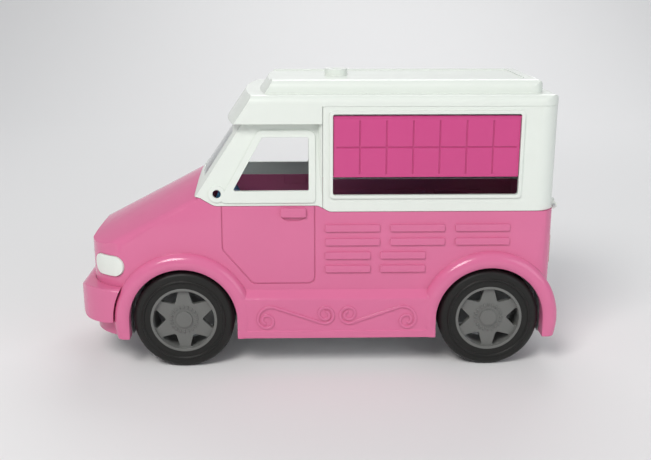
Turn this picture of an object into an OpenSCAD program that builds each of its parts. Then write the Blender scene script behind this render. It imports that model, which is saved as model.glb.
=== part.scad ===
// Toy food truck: a lifting top, a serving hatch and free-rolling wheels.
// Millimetres. Up is +Z, the front looks along -X, the serving side is -Y.

/* [Overall] */
// front bumper face to front axle
front_overhang = 97; // [80:1:130]
// front axle to rear axle
wheelbase = 276; // [240:1:340]
// rear axle to the back of the hinge
rear_overhang = 63; // [56:1:90]
// width over the wheel arch flares
body_w = 160; // [140:1:190]
// width over the side walls
side_w = 144; // [126:1:172]
// thickness of the moulded walls
wall = 3; // [2.4:0.2:3.6]
// gap between pieces that part or move
gap = 0.4; // [0.3:0.1:0.8]
// gap at a glued or screwed seam
seam = 0.3; // [0.2:0.1:0.4]
// how far a cut runs past what it cuts
overrun = 20; // [10:1:40]

/* [Wheels] */
// tyre outside diameter
wheel_d = 90.8; // [80:0.2:96]
// tyre width
tyre_w = 31; // [26:1:34]
// tyre face back from the flare
tyre_inset = 3.5; // [2:0.5:6]
// tyre shoulder radius
tyre_round = 5; // [2:0.5:7]
// place of the raised ring as a share of the tyre wall
tyre_ring_share = 0.42; // [0.3:0.01:0.6]
// size of the raised ring on the tyre wall
tyre_ring = 1.2; // [0.6:0.2:2]
// rim outside diameter
rim_d = 60; // [50:1:66]
// rim ring thickness
rim_ring = 2.4; // [2:0.2:5]
// spoke plate thickness
spoke_t = 5; // [3:0.5:8]
// how far the spokes sit behind the rim edge
spoke_inset = 3; // [1:0.5:6]
// width of one spoke
spoke_w = 8.5; // [7:0.5:11]
// number of spokes
spokes = 6; // [5:1:8]
// hub cap diameter
hub_d = 15; // [12:0.5:20]
// axle diameter
axle_d = 6; // [4:0.5:8]
// running clearance of the axle and the pins
run_clear = 0.05; // [0.03:0.01:0.08]

/* [Lower body] */
// height of the belt seam along the cab
belt_z = 149.5; // [140:0.5:160]
// drop of the belt seam behind the cab
belt_drop = 5.5; // [3:0.5:8]
// middle of the drop, behind the front axle
belt_step_at = 126.5; // [110:0.5:150]
// length of the sloping drop
belt_step_l = 10.5; // [6:0.5:16]
// rise of the belt seam at its front tip
belt_rise = 8; // [4:0.5:9]
// start of the rise behind the front axle
belt_rise_at = 30; // [24:0.5:34]
// length of the rise
belt_rise_l = 14; // [10:0.5:20]
// rounding of the bends in the belt seam
belt_round = 12; // [6:0.5:16]
// radius of the bulge of the side walls
barrel_r = 700; // [500:10:1200]
// height where the side walls bulge most
barrel_z = 85; // [70:1:110]
// underside of the sill
sill_z = 29; // [24:0.5:34]
// top of the sill ledge
sill_top = 73; // [66:0.5:82]
// sill face inside the flare
sill_inset = 1; // [1:0.5:4]
// height of the lip under the sill
lip_h = 6.5; // [4:0.5:10]
// how far the lip stands out
lip_out = 0.8; // [0.4:0.2:1.2]
// corner radius at the tail, seen from above
tail_round = 18; // [10:1:26]
// corner radius at the nose, seen from above
nose_round = 44; // [30:1:56]

/* [Bonnet] */
// cowl centre, behind the front axle
cowl_at = 13.5; // [8:0.5:18]
// cowl centre height
cowl_z = 170.5; // [164:0.5:174]
// bonnet slope
bonnet_tilt = 27.5; // [22:0.5:32]
// radius of the bonnet crown
crown_r = 180; // [150:1:240]
// shoulder radius between bonnet and wing
shoulder_r = 13; // [9:1:18]
// rounding between bonnet and nose
brow_r = 24; // [12:1:34]
// how far the bonnet runs back under the windscreen
cowl_shelf = 5; // [4:0.5:8]

/* [Wheel arches] */
// gap between tyre and arch
arch_gap = 3.2; // [2.5:0.1:5]
// width of the flare seen from the side
flare_w = 14; // [10:0.5:16]
// rounding of the flare as a share of its width
flare_share = 0.55; // [0.3:0.05:0.6]

/* [Bumpers and lamps] */
// front bumper depth ahead of the nose
bumper_out = 11; // [8:0.5:16]
// front bumper underside
bumper_z = 44; // [34:0.5:48]
// front bumper height
bumper_h = 32; // [28:0.5:44]
// rounding of the front bumper
bumper_round = 9; // [4:0.5:13]
// how far back the front bumper wraps
bumper_wrap = 36; // [28:1:40]
// rear bumper height
tail_bumper_h = 15; // [10:0.5:20]
// head lamp width
lamp_w = 34; // [26:1:44]
// head lamp height
lamp_h = 19; // [14:0.5:24]
// head lamp centre height
lamp_z = 95; // [90:0.5:102]
// head lamp turn from the side to the front
lamp_turn = 35; // [20:1:50]
// how far the lamps stand out
lamp_out = 1.6; // [0.8:0.2:2.4]
// depth of the lamp and grille pockets
pocket_d = 1.6; // [1:0.2:2]
// tail lamp width
tail_lamp_w = 12; // [8:0.5:18]
// tail lamp height
tail_lamp_h = 30; // [20:1:36]
// tail lamp centre height
tail_lamp_z = 104; // [90:1:116]
// tail lamp centre from the middle
tail_lamp_y = 46; // [40:0.5:48]
// grille width
grille_w = 58; // [44:1:66]
// grille height
grille_h = 15; // [10:0.5:19]
// number of slots in the grille
grille_slots = 3; // [2:1:4]
// blank plate width
plate_w = 42; // [30:1:54]
// blank plate height
plate_h = 14; // [10:0.5:20]

/* [Side detail] */
// door front edge behind the front axle
door_front_at = 36; // [28:0.5:44]
// door rear edge behind the front axle
door_rear_at = 119; // [105:0.5:124]
// door bottom height
door_z = 78.5; // [76:0.5:84]
// width of the door line
door_line = 1; // [0.6:0.1:1.4]
// depth of the door line
door_depth = 0.8; // [0.5:0.1:1.2]
// height where the door's front edge turns back
door_turn_z = 110.5; // [104:0.5:116]
// start of the door's lower edge behind the front axle
door_low_at = 62.6; // [60:0.2:70]
// door corner radius
door_round = 6; // [3:0.5:9]
// rib height
rib_h = 6.3; // [4:0.1:8]
// rib pitch, top to bottom
rib_pitch = 12.4; // [9:0.1:14]
// how far the ribs stand out
rib_out = 1.6; // [0.8:0.2:2.4]
// top rib centre height
rib_z = 129.7; // [124:0.1:134]
// first rib behind the front axle
rib_at = 127.8; // [122:0.1:134]
// spacing of the long ribs
rib_step = 57.8; // [52:0.1:62]
// length of the long ribs
rib_l = 48.4; // [36:0.1:50]
// spacing of the short ribs
rib_short_step = 49.1; // [44:0.1:54]
// length of the short ribs
rib_short_l = 40.2; // [30:0.1:42]
// door handle length
handle_l = 22; // [16:0.5:28]
// door handle height
handle_h = 8.2; // [6:0.2:11]
// depth of the finger hollow below the handle
finger_h = 3.4; // [2:0.2:5]
// thickness of the scroll bead
bead_d = 2.2; // [1.4:0.1:3]
// how far the scroll bead stands out
bead_out = 1; // [0.6:0.1:1.4]
// scroll length from spiral to spiral
scroll_l = 52.5; // [44:0.5:56]
// radius of the large spiral
scroll_big_r = 8; // [6:0.1:8.6]
// radius of the small spiral
scroll_small_r = 7.6; // [5:0.1:8]
// height of the large spiral's centre
scroll_z = 47; // [46:0.1:50]
// how much higher the small spiral sits
scroll_rise = 3.8; // [2:0.1:6]
// small spiral from the middle of the sill
scroll_apart = 10.6; // [9.5:0.1:14]
// radius of the second and third turns as shares of the first
scroll_turn_share = 0.75; // [0.7:0.01:0.8]
scroll_inner_share = 0.5; // [0.4:0.01:0.55]
// radius of the bend into the stem as a share of the first turn
scroll_bend_share = 1.5; // [1:0.05:1.6]

/* [Top] */
// height of the roof edge over the serving window
cap_z = 237; // [232:0.5:244]
// height of the brow over the cab
brow_z = 222; // [218:0.5:226]
// height of the lower roof step
ledge_z = 246.5; // [243:0.5:252]
// height of the roof top
roof_z = 258; // [253:0.5:266]
// windscreen lean from upright
screen_lean = 34.6; // [28:0.2:40]
// windscreen bulge radius
screen_r = 320; // [240:1:420]
// half width of the cab at the belt, inside the side wall
cab_in = 3; // [2:0.2:5]
// lean of the cab sides over their height
cab_lean = 8; // [4:0.5:12]
// half width of the serving box, inside the side wall
serve_in = 2.6; // [2:0.2:5]
// serving box front, behind the front axle
serve_at = 122; // [112:0.5:130]
// edge radius of the serving box front
serve_round = 7; // [4:0.5:10]
// roof overhang over the walls
eave = 0.2; // [0.2:0.2:2]
// brow overhang ahead of the windscreen
brow_out = 8; // [4:0.5:12]
// roof edge rounding
roof_round = 7; // [3:0.5:9]
// upper roof step, in from the edge
tier_in = 13; // [8:0.5:20]
// depth of the panel sunk into the roof
roof_sunk = 1; // [0.6:0.2:1.4]
// border around the sunk panel
roof_border = 14; // [8:0.5:22]

/* [Windows] */
// cab window height above the belt
cab_win_up = 13.3; // [11:0.1:17]
// cab window height
cab_win_h = 47; // [38:0.5:50]
// cab window rear edge behind the front axle
cab_win_rear_at = 113.3; // [104:0.1:116]
// cab window length along its bottom
cab_win_l = 67; // [52:0.5:70]
// cab window length along its top
cab_win_top_l = 40.2; // [28:0.5:44]
// corner radius of the openings
win_round = 1.6; // [1:0.2:4]
// corner radius of the serving window
serve_win_round = 2; // [1:0.5:4]
// width of the raised window frames
frame_w = 6; // [4:0.5:8]
// width of the frame below the cab window
frame_foot = 10.2; // [6:0.2:11]
// how far the window frames stand out
frame_out = 1.2; // [0.6:0.2:2]
// serving window front edge behind the front axle
serve_win_at = 134.4; // [130:0.1:142]
// serving window length
serve_win_l = 163; // [130:0.5:172]
// serving window height
serve_win_h = 71.2; // [56:0.2:72]
// serving window head under the roof edge
serve_head = 6.5; // [5.5:0.5:10]
// windscreen height along its slope
screen_h = 47; // [40:0.5:50]
// windscreen half width
screen_half_w = 52; // [42:0.5:56]
// windscreen start up the slope from the cowl
screen_up = 6; // [4:0.5:10]
// windscreen thickness
screen_t = 1.6; // [1:0.2:2]
// windscreen set back from the front
screen_back = 0.6; // [0.4:0.1:1]

/* [Hatch] */
// hatch thickness
hatch_t = 2.4; // [1.8:0.2:3]
// hatch height below its pivot
hatch_h = 52.5; // [40:0.5:64]
// columns pressed into the hatch
hatch_cols = 7; // [4:1:9]
// width of the pressed lines
hatch_line = 1.2; // [0.8:0.1:1.8]
// border left plain around the pressed lines
hatch_border = 3; // [2:0.5:5]
// depth of the pressed lines
hatch_depth = 0.7; // [0.4:0.1:1]
// hatch pivot diameter
pivot_d = 3; // [2:0.2:3.2]
// hatch pivot length
pivot_l = 4; // [3:0.5:6]

/* [Sockets] */
// hole for a mirror stalk
mirror_d = 7.4; // [5:0.2:9]
// mirror boss diameter
mirror_boss_d = 15; // [12:0.5:18]
// mirror boss centre behind the front axle
mirror_at = 32.5; // [26:0.5:38]
// mirror boss centre above the belt
mirror_up = 11; // [9:0.5:14]
// sign boss diameter on the roof
sign_d = 21; // [16:0.5:26]
// sign boss height
sign_h = 5; // [4:0.5:8]
// hole for the sign
sign_hole_d = 7; // [4:0.5:10]
// sign boss centre behind the front axle
sign_at = 139; // [120:1:160]

/* [Roof hinge] */
// hinge barrel diameter
hinge_d = 6; // [5:0.2:7]
// hinge pin diameter
pin_d = 2.6; // [2:0.2:3]
// hinge barrel length
barrel_l = 9; // [6:0.5:14]
// hinge distance from the middle
hinge_y = 30; // [20:1:44]

/* [Inside] */
// top of the floor tray
tray_z = 101; // [100:0.5:108]
// tray thickness
tray_t = 2.4; // [1.6:0.2:3]
// dash height above the tray
dash_h = 40; // [28:1:44]
// dash depth, front to back
dash_l = 26; // [20:1:32]
// depth of the dash top as a share of the dash depth
dash_top_share = 0.6; // [0.4:0.05:0.8]
// seat depth, front to back
seat_l = 41; // [34:1:46]
// thickness of the seat back as a share of the seat depth, at its top and at its foot
seat_top_share = 0.24; // [0.2:0.01:0.28]
seat_foot_share = 0.3; // [0.28:0.01:0.36]
// seat width
seat_w = 46; // [36:1:56]
// seat cushion height
seat_h = 14; // [10:0.5:20]
// seat back height
seat_back_h = 46; // [34:1:50]
// counter depth
counter_w = 34; // [24:1:44]
// counter height
counter_h = 26; // [20:1:30]
// counter length
counter_l = 120; // [80:1:140]

/* [Hidden] */
$fn = 72;
// degrees per step of a small and of a large rounding
arc_step = 15;
fine_step = 6;
front_x = -(front_overhang + wheelbase + rear_overhang) / 2;
front_axle_x = front_x + front_overhang;
rear_axle_x = front_axle_x + wheelbase;
rear_x = rear_axle_x + rear_overhang;
axle_z = wheel_d / 2;
side_y = side_w / 2;
flare_y = body_w / 2;
sill_y = flare_y - sill_inset;
nose_x = front_x + bumper_out;
hinge_off = hinge_d / 2 + 2 * gap;
tail_x = rear_x - hinge_d / 2 - hinge_off;
hinge_x = tail_x + hinge_off;
belt_rear_z = belt_z - belt_drop;
hinge_z = belt_rear_z + gap / 2;
belt_step_x = front_axle_x + belt_step_at;
cowl_x = front_axle_x + cowl_at;
shelf_x = cowl_x + cowl_shelf;
arch_r = wheel_d / 2 + arch_gap;
bonnet_reach = -front_x;
bumper_back_x = nose_x + bumper_wrap;
tray_x = shelf_x + wall;
serve_y = side_y - serve_in;
cab_y = side_y - cab_in;
serve_x = front_axle_x + serve_at;
split_x = serve_x + wall + gap;
cap_y = serve_y + eave;
cap_rear_x = tail_x + eave;
serve_win_x = front_axle_x + serve_win_at;
serve_win_top = cap_z - serve_head;
hatch_pivot_z = serve_win_top - hatch_t / 2 - 4 * gap;
hatch_y = -serve_y + pivot_d / 2 + gap;
hatch_l = serve_win_l - 2 * gap;
cab_win_z = belt_z + cab_win_up;
cab_win_x = front_axle_x + cab_win_rear_at;

// Drawing helpers: a polygon with rounded corners, and two ways to extrude it
function unit(v) = v / norm(v);
function before(p, i) = p[(i + len(p) - 1) % len(p)];
function after(p, i) = p[(i + 1) % len(p)];
function toward(p, i) = unit(before(p, i) - p[i]);
function onward(p, i) = unit(after(p, i) - p[i]);
function turn(p, i) = sign(cross(-toward(p, i), onward(p, i)));
function half_angle(p, i) = acos(toward(p, i) * onward(p, i)) / 2;
function bisector(p, i) = unit(toward(p, i) + onward(p, i));
function heading(v) = atan2(v[1], v[0]);

// the arc at corner i, or the corner itself where the radius is zero
function arc_at(p, i, r) = r <= 0 ? [p[i]] :
    let (h = half_angle(p, i),
        centre = p[i] + bisector(p, i) * r / sin(h),
        from = heading(p[i] + toward(p, i) * r / tan(h) - centre),
        sweep = turn(p, i) * (180 - 2 * h),
        steps = ceil(abs(sweep) / (r > wheel_d / 9 ? fine_step : arc_step)))
    [for (a = [from : sweep / steps : from + sweep * (1 + 1 / steps / 2)]) centre + r * [cos(a), sin(a)]];

module rounded(p, radii) {
    polygon([for (i = [0 : len(p) - 1]) each arc_at(p, i, radii[i])]);
}

module pad(l, h, r) {
    rounded([[-l / 2, -h / 2], [l / 2, -h / 2], [l / 2, h / 2], [-l / 2, h / 2]], [r, r, r, r]);
}

// XZ drawing pulled from y0 to y1
module along_y(y0, y1) {
    translate([0, y1, 0]) rotate([90, 0, 0]) linear_extrude(y1 - y0) children();
}

// YZ drawing pulled from x0 to x1
module along_x(x0, x1) {
    translate([x0, 0, 0]) rotate([90, 0, 90]) linear_extrude(x1 - x0) children();
}

module both_sides() {
    children();
    mirror([0, 1, 0]) children();
}

// Lower body, taken in by t: plan, bulged sides, bonnet and cabin
function wall_y(z) = side_y - barrel_r + sqrt(barrel_r * barrel_r - (z - barrel_z) * (z - barrel_z));

module plan(t) {
    y = side_y - t;
    rounded([[nose_x + t, -y], [tail_x - t, -y], [tail_x - t, y], [nose_x + t, y]],
        [nose_round - t, tail_round - t, tail_round - t, nose_round - t]);
}

module barrel(t) {
    along_x(front_x - overrun, rear_x + overrun) intersection() {
        translate([side_y - barrel_r, barrel_z]) circle(barrel_r - t, $fn = 720);
        translate([barrel_r - side_y, barrel_z]) circle(barrel_r - t, $fn = 720);
    }
}

// side view of everything under the belt seam, raised by lift
module belt_line(lift) {
    x0 = front_axle_x + belt_rise_at;
    rounded([[front_x - overrun, sill_z - overrun], [rear_x + overrun, sill_z - overrun],
        [rear_x + overrun, belt_rear_z + lift], [belt_step_x + belt_step_l / 2, belt_rear_z + lift],
        [belt_step_x - belt_step_l / 2, belt_z + lift], [x0, belt_z + lift],
        [x0 - belt_rise_l, belt_z + belt_rise + lift], [front_x - overrun, belt_z + belt_rise + lift]],
        [0, 0, 0, belt_round / 2, belt_round / 2, belt_round, belt_round, 0]);
}

module bonnet_section(t) {
    r = crown_r - t;
    half = side_y - t;
    s = shoulder_r - t;
    sy = half - s;
    sz = sqrt((r - s) * (r - s) - sy * sy);
    translate([0, -crown_r]) {
        intersection() {
            circle(r, $fn = 240);
            polygon([[0, 0], [sy * 2, sz * 2], [-sy * 2, sz * 2]]);
        }
        for (side = [-sy, sy]) translate([side, sz]) circle(s);
        polygon([[-half, -crown_r], [half, -crown_r], [half, sz], [sy, sz], [0, sz / 2], [-sy, sz],
            [-half, sz]]);
    }
}

// everything behind the cowl line
module cowl_region(grow) {
    translate([shelf_x - grow, -body_w, -roof_z])
        cube([rear_x - shelf_x + grow + overrun, 2 * body_w, 3 * roof_z]);
}

module bonnet_block(t) {
    back_x = shelf_x + wheel_d / 2;
    low_z = sill_z - (t > 0 ? overrun : 0);
    rise = tan(bonnet_tilt);
    drop = t / cos(bonnet_tilt);
    difference() {
        intersection() {
            translate([cowl_x, 0, cowl_z]) rotate([0, -bonnet_tilt, 0])
                along_x(-bonnet_reach, bonnet_reach) bonnet_section(t);
            along_y(-body_w, body_w)
                rounded([[nose_x + t, low_z], [back_x, low_z],
                    [back_x, cowl_z + (back_x - cowl_x) * rise - drop + overrun],
                    [nose_x + t, cowl_z + (nose_x + t - cowl_x) * rise - drop]],
                    [0, 0, 0, brow_r - t]);
        }
        if (t == 0) cowl_region(0);
    }
}

module cabin_block(t) {
    intersection() {
        cowl_region(t > 0 ? 0 : wall);
        along_y(-body_w, body_w) intersection() {
            belt_line(t > 0 ? overrun : 0);
            translate([cowl_x, sill_z - (t > 0 ? overrun : 0)]) square([tail_x - t - cowl_x, belt_z]);
        }
    }
}

module body_solid(t) {
    intersection() {
        translate([0, 0, sill_z - 2 * overrun]) linear_extrude(belt_z + 4 * overrun) plan(t);
        barrel(t);
        union() {
            cabin_block(t);
            bonnet_block(t);
        }
    }
}

// sill seen from the front: a ledge, a flat face and a lip, then the room inside it
module sill_section() {
    lip_y = sill_y + lip_out;
    lip_z = sill_z + lip_h;
    rounded([[side_y - 2 * wall, sill_z], [lip_y, sill_z], [lip_y, lip_z], [sill_y, lip_z + lip_out],
        [sill_y, sill_top - sill_y + side_y], [side_y, sill_top], [side_y - 2 * wall, sill_top]],
        [0, lip_out, 0, 0, wall, 0, 0]);
}

module sill_room() {
    top = sill_top - wall;
    polygon([[side_y - overrun, sill_z - overrun], [sill_y - wall, sill_z - overrun],
        [sill_y - wall, top - sill_y + side_y], [side_y - wall, top], [side_y - overrun, top]]);
}

module sill_block(t) {
    along_x(front_axle_x + arch_r + t, rear_axle_x - arch_r - t) {
        if (t > 0) sill_room();
        else sill_section();
    }
}

module flare(axle_x) {
    depth = flare_y - side_y + wall;
    inner = arch_r - wall;
    outer = arch_r + flare_w;
    edge = flare_w * flare_share;
    intersection() {
        translate([axle_x, flare_y, axle_z]) rotate([90, 0, 0]) rotate_extrude($fn = 96)
            rounded([[inner, 0], [outer, 0], [outer, depth], [inner, depth]], [edge, edge, 0, 0]);
        translate([axle_x - arch_r - overrun, 0, sill_z]) cube([2 * (arch_r + overrun), body_w, body_w]);
    }
}

module arch_cut(axle_x) {
    translate([axle_x, flare_y + overrun, axle_z]) rotate([90, 0, 0])
        cylinder(r = arch_r, h = flare_y - side_y + 2 * overrun, $fn = 144);
    translate([axle_x - arch_r, side_y - overrun, sill_z - overrun])
        cube([2 * arch_r, flare_y - side_y + 2 * overrun, axle_z - sill_z + overrun]);
}

module door_outline(t) {
    x0 = front_axle_x + door_front_at + t;
    x1 = front_axle_x + door_rear_at - t;
    z0 = door_z + t;
    rounded([[x0, door_turn_z + t / 2], [front_axle_x + door_low_at + t / 2, z0], [x1, z0],
        [x1, belt_z + overrun], [x0, belt_z + overrun]],
        [door_round, door_round, door_round, 0, 0]);
}

handle_x = front_axle_x + door_rear_at - handle_h - handle_l / 2;
handle_z = belt_z - handle_h * 2 / 3;

// hollow for a finger, narrower at its foot
module finger_outline() {
    half = handle_l / 2;
    translate([handle_x, handle_z - handle_h / 2 - seam])
        rounded([[-half / 2, -finger_h], [half / 2, -finger_h], [half, 0], [-half, 0]],
            [finger_h, finger_h, 0, 0]);
}

module door_groove() {
    difference() {
        along_y(side_y - overrun, side_y + overrun) {
            difference() {
                door_outline(0);
                door_outline(door_line);
            }
            finger_outline();
        }
        body_solid(door_depth);
        translate([front_x, -overrun, sill_z]) cube([rear_x - front_x, cab_y - overrun, belt_z]);
    }
}

// rows of ribs: how many, spacing, length
rib_rows = [[3, rib_step, rib_l], [3, rib_step, rib_l],
    [2, rib_short_step, rib_short_l], [2, rib_short_step, rib_short_l]];
rib_count = 0;
rib_space = 1;
rib_len = 2;

module ribs() {
    for (row = [0 : len(rib_rows) - 1])
        for (i = [0 : rib_rows[row][rib_count] - 1]) {
            z = rib_z - row * rib_pitch;
            x = front_axle_x + rib_at + i * rib_rows[row][rib_space];
            l = rib_rows[row][rib_len];
            along_y(side_y - 2 * wall, wall_y(z) + rib_out)
                translate([x + l / 2, z]) pad(l, rib_h, rib_h / 6);
        }
}

module handle() {
    along_y(side_y - 2 * wall, wall_y(belt_z) + rib_out + wall / 2)
        translate([handle_x, handle_z]) pad(handle_l, handle_h, handle_h / 6);
}

// S scroll: a large spiral low at one end, a small one high at the other.
// Its turns run from one inner end to the other: centre, radius, first and last angle,
// and the side of the ribbon that lies away from the centre
scroll_low = [-scroll_l / 2, scroll_z];
scroll_high = [scroll_l / 2, scroll_z + scroll_rise];
scroll_low_bend = scroll_low + [scroll_big_r * (scroll_bend_share - 1), 0];
scroll_high_bend = scroll_high + [0, scroll_small_r * (scroll_bend_share - 1)];
scroll_stem = scroll_high_bend - scroll_low_bend;
scroll_lean = heading(scroll_stem)
    + acos((scroll_big_r + scroll_small_r) * scroll_bend_share / norm(scroll_stem));
scroll_back_share = 2 * scroll_turn_share - scroll_inner_share;
scroll_turns = [
    [scroll_low - [0, scroll_big_r * (1 - scroll_back_share)], scroll_big_r * scroll_inner_share, 270, 90, 1],
    [scroll_low - [0, scroll_big_r * (1 - scroll_turn_share)], scroll_big_r * scroll_turn_share, 90, -90, 1],
    [scroll_low, scroll_big_r, -90, -180, 1],
    [scroll_low_bend, scroll_big_r * scroll_bend_share, -180, scroll_lean - 360, 1],
    [scroll_high_bend, scroll_small_r * scroll_bend_share, scroll_lean - 180, -90, -1],
    [scroll_high, scroll_small_r, -90, 90, -1],
    [scroll_high + [0, scroll_small_r * (1 - scroll_turn_share)],
        scroll_small_r * scroll_turn_share, 90, 270, -1],
    [scroll_high + [0, scroll_small_r * (1 - scroll_back_share)],
        scroll_small_r * scroll_inner_share, -90, 90, -1]];
turn_centre = 0;
turn_r = 1;
turn_from = 2;
turn_to = 3;
turn_side = 4;

// one edge of the ribbon, out from its middle line by out
function scroll_edge(out) = [for (t = scroll_turns)
    let (steps = ceil(abs(t[turn_to] - t[turn_from]) / arc_step), r = t[turn_r] + t[turn_side] * out)
    for (k = [1 : 2 : 2 * steps])
        let (a = t[turn_from] + (t[turn_to] - t[turn_from]) * k / steps / 2)
        t[turn_centre] + r * [cos(a), sin(a)]];

function backwards(p) = [for (i = [len(p) - 1 : -1 : 0]) p[i]];

module scroll() {
    along_y(sill_y - bead_out, sill_y + bead_out)
        polygon(concat(scroll_edge(-bead_d / 2), backwards(scroll_edge(bead_d / 2))));
}

module scrolls() {
    mid = (front_axle_x + rear_axle_x) / 2;
    for (s = [-1, 1])
        translate([mid + s * (scroll_l / 2 + scroll_apart), 0, 0]) mirror([s > 0 ? 1 : 0, 0, 0]) scroll();
}

// Prism pointing out of the nose corner
module lamp_prism(t) {
    translate([nose_x + nose_round, side_y - nose_round, lamp_z])
        rotate([0, 0, 180 + lamp_turn]) rotate([90, 0, 0]) linear_extrude(2 * nose_round)
            pad(lamp_w - 2 * t, lamp_h - 2 * t, lamp_h / 2 - t - gap);
}

module tail_prism(t) {
    along_x(tail_x - pocket_d, tail_x + overrun) translate([tail_lamp_y, tail_lamp_z])
        pad(tail_lamp_w - 2 * t, tail_lamp_h - 2 * t, tail_lamp_w / 3 - t);
}

module hinge_leaf(y0, z0, z1) {
    translate([hinge_x, y0, hinge_z]) rotate([-90, 0, 0]) cylinder(d = hinge_d, h = barrel_l, $fn = 48);
    translate([tail_x - wall / 2, y0, z0]) cube([hinge_off + wall / 2, barrel_l, z1 - z0]);
}

module shell_half() {
    difference() {
        union() {
            difference() {
                union() {
                    body_solid(0);
                    sill_block(0);
                }
                body_solid(wall);
                sill_block(wall);
                translate([front_x - overrun, -body_w, -roof_z])
                    cube([rear_x - front_x + 2 * overrun, body_w + seam / 2, 3 * roof_z]);
            }
            ribs();
            handle();
            scrolls();
            flare(front_axle_x);
            flare(rear_axle_x);
            hinge_leaf(hinge_y, hinge_z - hinge_d, hinge_z);
        }
        arch_cut(front_axle_x);
        arch_cut(rear_axle_x);
        door_groove();
        difference() {
            union() {
                lamp_prism(0);
                along_x(nose_x - overrun, nose_x + pocket_d) translate([0, lamp_z])
                    pad(grille_w, grille_h, grille_h / 4);
            }
            body_solid(pocket_d);
        }
        tail_prism(0);
        translate([hinge_x, hinge_y - overrun, hinge_z]) rotate([-90, 0, 0])
            cylinder(d = pin_d + 2 * run_clear, h = barrel_l + 2 * overrun, $fn = 36);
    }
}

module right_shell() {
    color([0.87, 0.43, 0.63]) shell_half();
}

module left_shell() {
    color([0.87, 0.43, 0.63]) mirror([0, 1, 0]) shell_half();
}

// Lamps, grille and bumpers
module headlamp_half() {
    intersection() {
        lamp_prism(seam);
        difference() {
            translate([0, 0, sill_z]) linear_extrude(cowl_z) plan(-lamp_out);
            translate([0, 0, sill_z - overrun]) linear_extrude(cowl_z + 2 * overrun) plan(pocket_d);
        }
        translate([front_x, seam, sill_z]) cube([bonnet_reach, body_w, cowl_z]);
    }
}

module headlamp_right() {
    color([0.95, 0.96, 0.94]) headlamp_half();
}

module headlamp_left() {
    color([0.95, 0.96, 0.94]) mirror([0, 1, 0]) headlamp_half();
}

module tail_lamp_half() {
    intersection() {
        tail_prism(seam);
        along_x(tail_x - pocket_d, tail_x + lamp_out) translate([0, tail_lamp_z])
            square(body_w, center = true);
    }
}

module tail_lamp_right() {
    color([0.8, 0.08, 0.1]) tail_lamp_half();
}

module tail_lamp_left() {
    color([0.8, 0.08, 0.1]) mirror([0, 1, 0]) tail_lamp_half();
}

module grille() {
    slot_h = grille_h / (2 * grille_slots + 1);
    color([0.93, 0.94, 0.92])
    difference() {
        along_x(nose_x - lamp_out / 2, nose_x + pocket_d) translate([0, lamp_z])
            pad(grille_w - 2 * seam, grille_h - 2 * seam, grille_h / 4 - seam);
        for (i = [0 : grille_slots - 1])
            along_x(nose_x - overrun, nose_x + pocket_d / 2)
                translate([0, lamp_z + (i - (grille_slots - 1) / 2) * 2 * slot_h])
                    pad(grille_w - 4 * slot_h, slot_h, slot_h / 3);
    }
}

module front_bumper() {
    y = flare_y - seam;
    z1 = bumper_z + bumper_h;
    edge = bumper_round / 2;
    color([0.87, 0.43, 0.63])
    difference() {
        intersection() {
            translate([0, 0, bumper_z]) linear_extrude(bumper_h)
                rounded([[front_x, -y], [tail_x, -y], [tail_x, y], [front_x, y]],
                    [nose_round, 0, 0, nose_round]);
            along_y(-flare_y, flare_y)
                rounded([[front_x, bumper_z], [bumper_back_x, bumper_z], [bumper_back_x, z1], [front_x, z1]],
                    [bumper_round, 0, 0, bumper_round]);
            along_x(front_x - overrun, bumper_back_x + overrun)
                rounded([[-flare_y, bumper_z], [flare_y, bumper_z], [flare_y, z1], [-flare_y, z1]],
                    [edge, edge, edge, edge]);
        }
        translate([0, 0, bumper_z - overrun]) linear_extrude(bumper_h + 2 * overrun) plan(-seam);
        both_sides() translate([front_axle_x, flare_y + overrun, axle_z]) rotate([90, 0, 0])
            cylinder(r = arch_r + flare_w + seam, h = flare_y - side_y + overrun + 5 * wall, $fn = 144);
        along_x(front_x - overrun, front_x + pocket_d) translate([0, bumper_z + bumper_h / 2])
            pad(plate_w, plate_h, plate_h / 6);
    }
}

module rear_bumper() {
    y = side_y + wall;
    z0 = sill_z + lip_h;
    z1 = z0 + tail_bumper_h;
    color([0.94, 0.95, 0.93])
    intersection() {
        translate([0, 0, z0]) linear_extrude(tail_bumper_h) difference() {
            rounded([[front_x, -y], [rear_x, -y], [rear_x, y], [front_x, y]], [0, tail_round, tail_round, 0]);
            plan(-seam);
        }
        along_y(-body_w, body_w)
            rounded([[rear_axle_x, z0], [rear_x, z0], [rear_x, z1], [rear_axle_x, z1]],
                [0, tail_bumper_h / 4, tail_bumper_h / 4, 0]);
        difference() {
            translate([rear_axle_x, -body_w / 2, 0]) cube([rear_overhang, body_w, roof_z]);
            both_sides() translate([rear_axle_x, flare_y + overrun, axle_z]) rotate([90, 0, 0])
                cylinder(r = arch_r + flare_w + seam, h = flare_y - side_y + overrun + 5 * wall, $fn = 144);
        }
    }
}

// Chassis pan: floor plate, wheel wells and axle bearings
well_r = arch_r + wall / 2;
well_y = flare_y - tyre_inset - tyre_w - arch_gap;
bearing_y = well_y - 2 * wall;
// the pan stays inside the foot of the bulged wall and inside the ends of the sill
pan_y = min(wall_y(sill_z) - wall, side_y - 2 * wall) - seam;
pan_sill_y = sill_y - wall - seam;
pan_sill_at = arch_r + flare_w + seam;

module pan_plate() {
    translate([0, 0, sill_z]) linear_extrude(wall) difference() {
        union() {
            intersection() {
                plan(wall + seam);
                square([rear_x - front_x, 2 * pan_y], center = true);
            }
            translate([front_axle_x + pan_sill_at, -pan_sill_y])
                square([wheelbase - 2 * pan_sill_at, 2 * pan_sill_y]);
        }
        for (x = [front_axle_x, rear_axle_x])
            both_sides() translate([x - well_r, well_y]) square([2 * well_r, body_w]);
    }
}

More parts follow.
